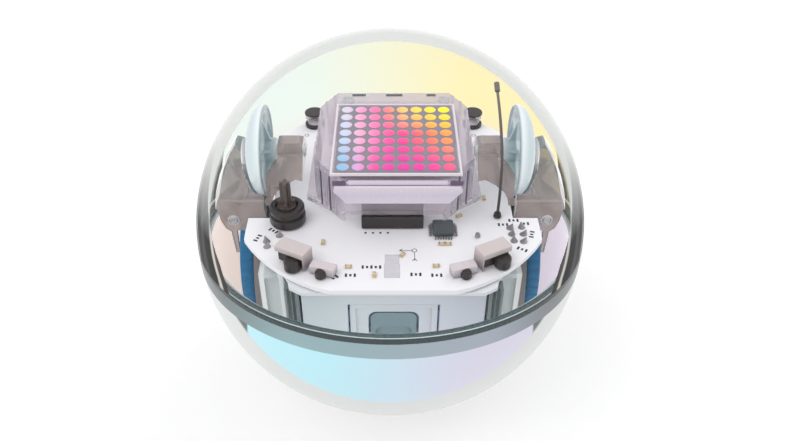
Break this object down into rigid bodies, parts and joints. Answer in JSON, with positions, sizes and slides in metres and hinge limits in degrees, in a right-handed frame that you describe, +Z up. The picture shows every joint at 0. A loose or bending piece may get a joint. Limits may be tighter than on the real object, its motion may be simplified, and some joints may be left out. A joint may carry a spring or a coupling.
{
  "type": "educational coding robot",
  "caption": "Clear rolling ball robot with a two-wheeled chassis inside, sprung idler discs and a colour light matrix on top.",
  "frame": {"origin": "centre of the ball", "axes": "+Z up with the chassis level, -Y towards the robot's front, +X along the wheel axles to the right as seen from the front; the ball's seam is turned 8 degrees about X with its front edge up"},
  "size_m": [0.073, 0.073, 0.0728],
  "materials": {
    "clear_shell": "clear polished polycarbonate with a faint pearl tint",
    "pearl_shell": "frosted pearlescent polycarbonate with a grey band under the seam",
    "seam_silver": "satin silver-grey seal",
    "pale_plastic": "satin off-white moulding",
    "slate_plastic": "satin blue-grey moulding",
    "charcoal_plastic": "fine-grained charcoal moulding",
    "clear_housing": "clear moulding with a faint lavender tint",
    "cell_blue": "shrink-wrapped battery cell",
    "brushed_metal": "plain steel and tin plate",
    "ferrite_grey": "matt grey ferrite",
    "copper_wire": "enamelled copper winding",
    "gear_brass": "machined brass",
    "tyre_rubber": "matt blue rubber",
    "board_white": "white solder mask",
    "black_plastic": "black moulding",
    "matrix_grey": "grey light-guide sheet, lit by coloured dots",
    "smoke_plastic": "smoke-tinted clear moulding",
    "silver_plastic": "satin silver moulding"
  },
  "bodies": {
    "chassis": {"main_frame": "pale_plastic", "chassis_deck": "pale_plastic", "front_cover": "pale_plastic", "rear_cover": "pale_plastic", "front_bezel": "pale_plastic", "front_panel": "pale_plastic", "proximity_sensor_right": "pale_plastic", "proximity_sensor_left": "pale_plastic", "front_pocket": "slate_plastic", "front_column_right": "charcoal_plastic", "front_column_left": "charcoal_plastic", "controller_chip": "charcoal_plastic", "damper_stem": "charcoal_plastic", "side_housing_right": "clear_housing", "side_housing_left": "clear_housing", "tower_housing": "clear_housing", "front_led": "clear_housing", "rear_post_right": "clear_housing", "rear_post_left": "clear_housing", "battery": "cell_blue", "counterweight": "brushed_metal", "motor_right": "brushed_metal", "motor_left": "brushed_metal", "ir_shield_right": "brushed_metal", "ir_shield_left": "brushed_metal", "arm_pin_right": "brushed_metal", "arm_pin_left": "brushed_metal", "arm_spring_right": "brushed_metal", "arm_spring_left": "brushed_metal", "coil_ferrite": "ferrite_grey", "charging_coil": "copper_wire", "axle_bush_right": "gear_brass", "axle_bush_left": "gear_brass", "main_board": "board_white", "matrix_bezel": "board_white", "header_connector": "black_plastic", "damper_grommet": "black_plastic", "antenna_wire": "black_plastic", "antenna_sleeve": "black_plastic", "ir_body_right": "black_plastic", "ir_body_left": "black_plastic", "led_panel": "matrix_grey", "hinge_carrier_right": "smoke_plastic", "hinge_carrier_left": "smoke_plastic"},
    "ball": {"shell_upper": "clear_shell", "shell_lower": "pearl_shell", "seam_ring": "seam_silver"},
    "wheel_right": {"wheel_axle_right": "brushed_metal", "wheel_hub_right": "charcoal_plastic", "tyre_right": "tyre_rubber"},
    "pinion_right": {"motor_pinion_right": "gear_brass"},
    "arm_right": {"idler_arm_right": "smoke_plastic"},
    "idler_right": {"idler_wheel_right": "silver_plastic"},
    "wheel_left": {"wheel_axle_left": "brushed_metal", "wheel_hub_left": "charcoal_plastic", "tyre_left": "tyre_rubber"},
    "pinion_left": {"motor_pinion_left": "gear_brass"},
    "arm_left": {"idler_arm_left": "smoke_plastic"},
    "idler_left": {"idler_wheel_left": "silver_plastic"}
  },
  "joints": [
    {"name": "ball_roll", "type": "hinge", "parent": "chassis", "child": "ball", "pos_m": [0, 0, 0], "axis": [1, 0, 0], "continuous": true},
    {"name": "wheel_right_spin", "type": "hinge", "parent": "chassis", "child": "wheel_right", "pos_m": [0.0262, 0, -0.0066], "axis": [1, 0, 0], "continuous": true},
    {"name": "pinion_right_spin", "type": "hinge", "parent": "chassis", "child": "pinion_right", "pos_m": [0.0194, -0.01, -0.0066], "axis": [1, 0, 0], "continuous": true},
    {"name": "arm_right_swing", "type": "hinge", "parent": "chassis", "child": "arm_right", "pos_m": [0.028, 0, 0.0073], "axis": [0, -1, 0], "range_deg": [0, 3], "stiffness_Nm_per_rad": 0.05, "springref_deg": -5.73},
    {"name": "idler_right_spin", "type": "hinge", "parent": "arm_right", "child": "idler_right", "pos_m": [0.0231, 0.001, 0.0158], "axis": [1, 0, 0], "continuous": true},
    {"name": "wheel_left_spin", "type": "hinge", "parent": "chassis", "child": "wheel_left", "pos_m": [-0.0262, 0, -0.0066], "axis": [1, 0, 0], "continuous": true},
    {"name": "pinion_left_spin", "type": "hinge", "parent": "chassis", "child": "pinion_left", "pos_m": [-0.0194, 0.01, -0.0066], "axis": [1, 0, 0], "continuous": true},
    {"name": "arm_left_swing", "type": "hinge", "parent": "chassis", "child": "arm_left", "pos_m": [-0.028, 0, 0.0073], "axis": [0, 1, 0], "range_deg": [0, 3], "stiffness_Nm_per_rad": 0.05, "springref_deg": -5.73},
    {"name": "idler_left_spin", "type": "hinge", "parent": "arm_left", "child": "idler_left", "pos_m": [-0.0231, 0.001, 0.0158], "axis": [1, 0, 0], "continuous": true}
  ],
  "couplings": [
    {"joint": "wheel_right_spin", "follows": "ball_roll", "ratio": 1.4925},
    {"joint": "pinion_right_spin", "follows": "ball_roll", "ratio": -4.4775},
    {"joint": "idler_right_spin", "follows": "ball_roll", "ratio": 2.9036},
    {"joint": "wheel_left_spin", "follows": "ball_roll", "ratio": 1.4925},
    {"joint": "pinion_left_spin", "follows": "ball_roll", "ratio": -4.4775},
    {"joint": "idler_left_spin", "follows": "ball_roll", "ratio": 2.9036}
  ]
}
